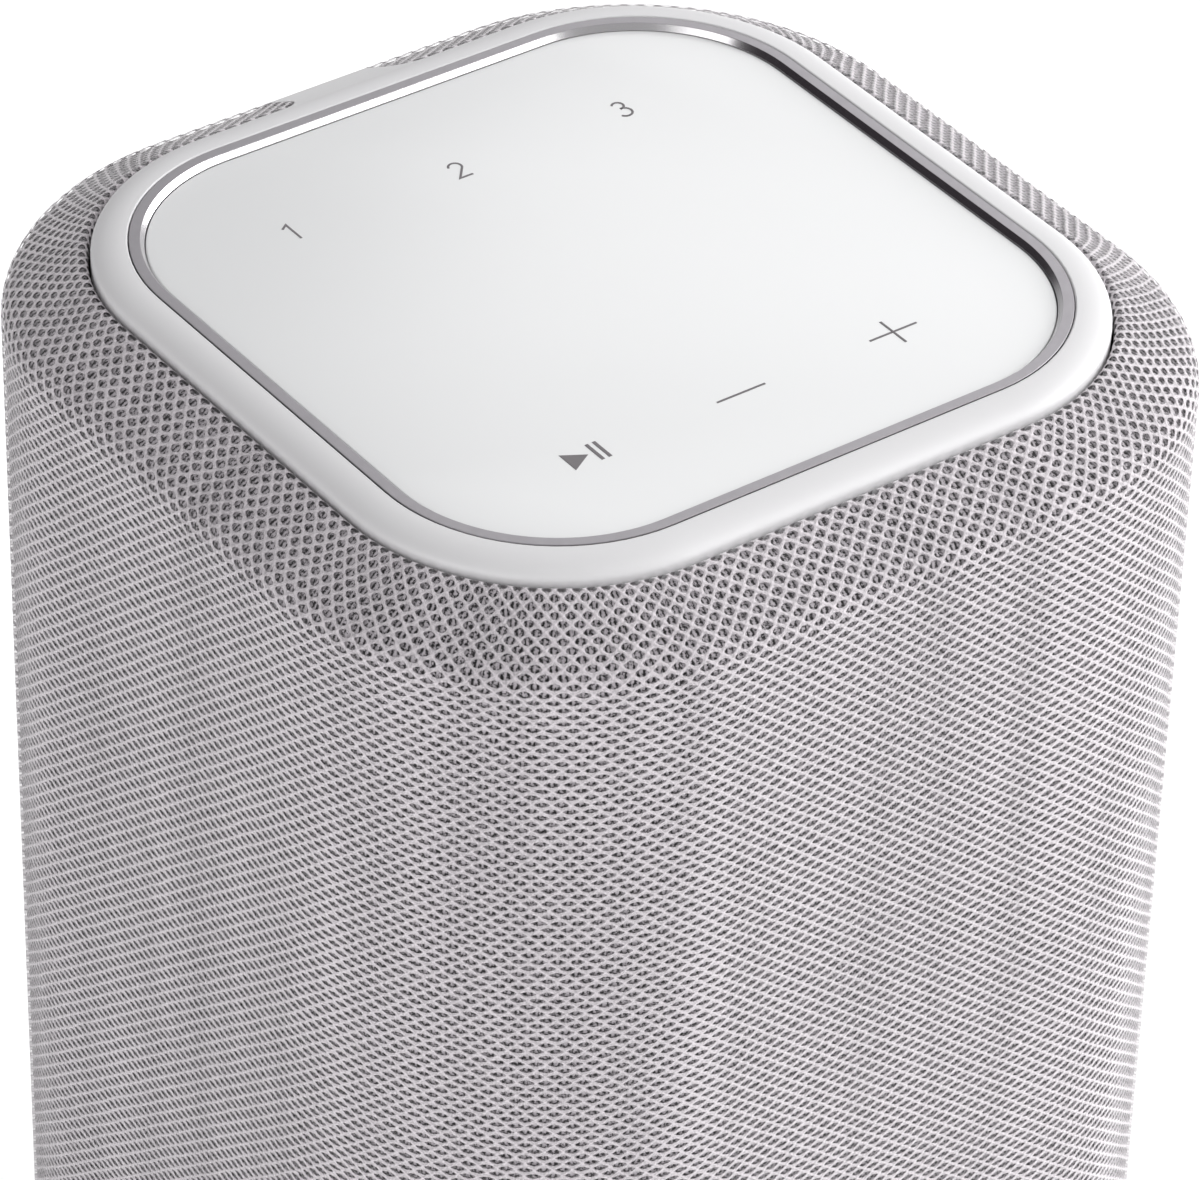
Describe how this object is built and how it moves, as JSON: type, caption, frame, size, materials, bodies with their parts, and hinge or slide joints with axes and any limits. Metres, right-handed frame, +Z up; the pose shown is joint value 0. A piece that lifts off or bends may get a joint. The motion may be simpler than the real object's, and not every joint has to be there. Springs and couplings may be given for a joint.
{
  "type": "smart speaker",
  "caption": "Square fabric-wrapped smart speaker tower with a glossy touch panel in a metal bezel, a rear spine with ports and buttons, and full speaker internals.",
  "frame": {"origin": "middle of the underside of the rubber foot", "axes": "+Z up, -Y towards the front that the speakers face, +X to the right seen from the front"},
  "size_m": [0.12, 0.12, 0.187],
  "materials": {
    "knit_fabric": "light grey knitted mesh, matt",
    "frame_plastic": "black moulded plastic, fine texture",
    "trim_plastic": "pale grey satin moulded plastic",
    "bezel_metal": "satin flat with a polished inner edge",
    "panel_gloss": "white high gloss",
    "port_plastic": "pale grey fine-textured plastic",
    "button_plastic": "pale grey satin plastic",
    "dark_plastic": "dark grey moulded plastic",
    "base_plastic": "mid grey moulded plastic",
    "socket_black": "black moulded socket plastic",
    "rubber_black": "matt black rubber and foam",
    "screw_steel": "black-zinc plated steel",
    "plate_steel": "zinc plated steel",
    "basket_steel": "black powder-coated pressed steel",
    "ferrite": "dark grey sintered ferrite",
    "brass_bright": "bright brass",
    "copper_wire": "enamelled copper winding",
    "cone_paper": "coated black cone",
    "dome_silk": "coated silk",
    "spider_cloth": "impregnated woven cloth",
    "wool_white": "loose white polyester wool",
    "lead_pvc": "red and black insulated wire",
    "board_green": "green solder mask over glass-epoxy board",
    "tinned_steel": "bright tin-plated sheet steel",
    "heat_sink_alloy": "black anodised extrusion",
    "transformer_body": "ferrite core with yellow tape",
    "capacitor_sleeve": "dark blue shrink sleeve",
    "antenna_copper": "copper strip on a thin film",
    "light_clear": "frosted clear plastic"
  },
  "bodies": {
    "housing": {"fabric_sleeve": "knit_fabric", "grille_frame": "frame_plastic", "top_trim": "trim_plastic", "bezel": "bezel_metal", "touch_panel": "panel_gloss", "panel_gasket": "rubber_black", "touch_board": "board_green", "top_carrier": "dark_plastic", "cabinet_shell": "dark_plastic", "cabinet_gasket": "rubber_black", "front_baffle": "dark_plastic", "baffle_screws": "screw_steel", "woofer_basket": "basket_steel", "woofer_gasket": "rubber_black", "woofer_top_plate": "plate_steel", "woofer_magnet": "ferrite", "woofer_back_plate": "plate_steel", "woofer_terminals": "brass_bright", "woofer_screws": "screw_steel", "woofer_surround": "rubber_black", "woofer_spider": "spider_cloth", "tweeter_faceplate": "dark_plastic", "tweeter_top_plate": "plate_steel", "tweeter_magnet": "ferrite", "tweeter_cup": "plate_steel", "tweeter_screws": "screw_steel", "tweeter_surround": "dome_silk", "damping_wool": "wool_white", "speaker_leads": "lead_pvc", "rear_housing": "dark_plastic", "main_board": "board_green", "shield_can": "tinned_steel", "amplifier_chips": "socket_black", "heat_sink": "heat_sink_alloy", "filter_coils": "copper_wire", "supply_board": "board_green", "transformer": "transformer_body", "supply_capacitors": "capacitor_sleeve", "antenna_left": "antenna_copper", "antenna_right": "antenna_copper", "port_panel": "port_plastic", "mains_inlet": "socket_black", "inlet_pins": "tinned_steel", "network_jack": "socket_black", "data_socket": "tinned_steel", "aux_jack": "socket_black", "port_board": "board_green", "button_switches": "socket_black", "status_light_pipe": "light_clear", "base_plate": "base_plastic", "rubber_foot": "rubber_black", "threaded_insert": "brass_bright", "base_screws": "screw_steel"},
    "woofer_cone_assembly": {"woofer_cone": "cone_paper", "woofer_dust_cap": "cone_paper", "woofer_voice_coil": "copper_wire"},
    "tweeter_dome_assembly": {"tweeter_dome": "dome_silk", "tweeter_coil": "copper_wire"},
    "connect_button": {"connect_button": "button_plastic"},
    "pairing_button": {"pairing_button": "button_plastic"}
  },
  "joints": [
    {"name": "woofer_stroke", "type": "slide", "parent": "housing", "child": "woofer_cone_assembly", "axis": [0, -1, 0], "range_m": [-0.003, 0.003], "stiffness_N_per_m": 900, "deforming": ["woofer_surround", "woofer_spider"]},
    {"name": "tweeter_stroke", "type": "slide", "parent": "housing", "child": "tweeter_dome_assembly", "axis": [0, -1, 0], "range_m": [-0.0003, 0.0003], "stiffness_N_per_m": 600, "deforming": ["tweeter_surround"]},
    {"name": "connect_press", "type": "slide", "parent": "housing", "child": "connect_button", "axis": [0, -1, 0], "range_m": [0, 0.0005], "stiffness_N_per_m": 700},
    {"name": "pairing_press", "type": "slide", "parent": "housing", "child": "pairing_button", "axis": [0, -1, 0], "range_m": [0, 0.0005], "stiffness_N_per_m": 700}
  ]
}
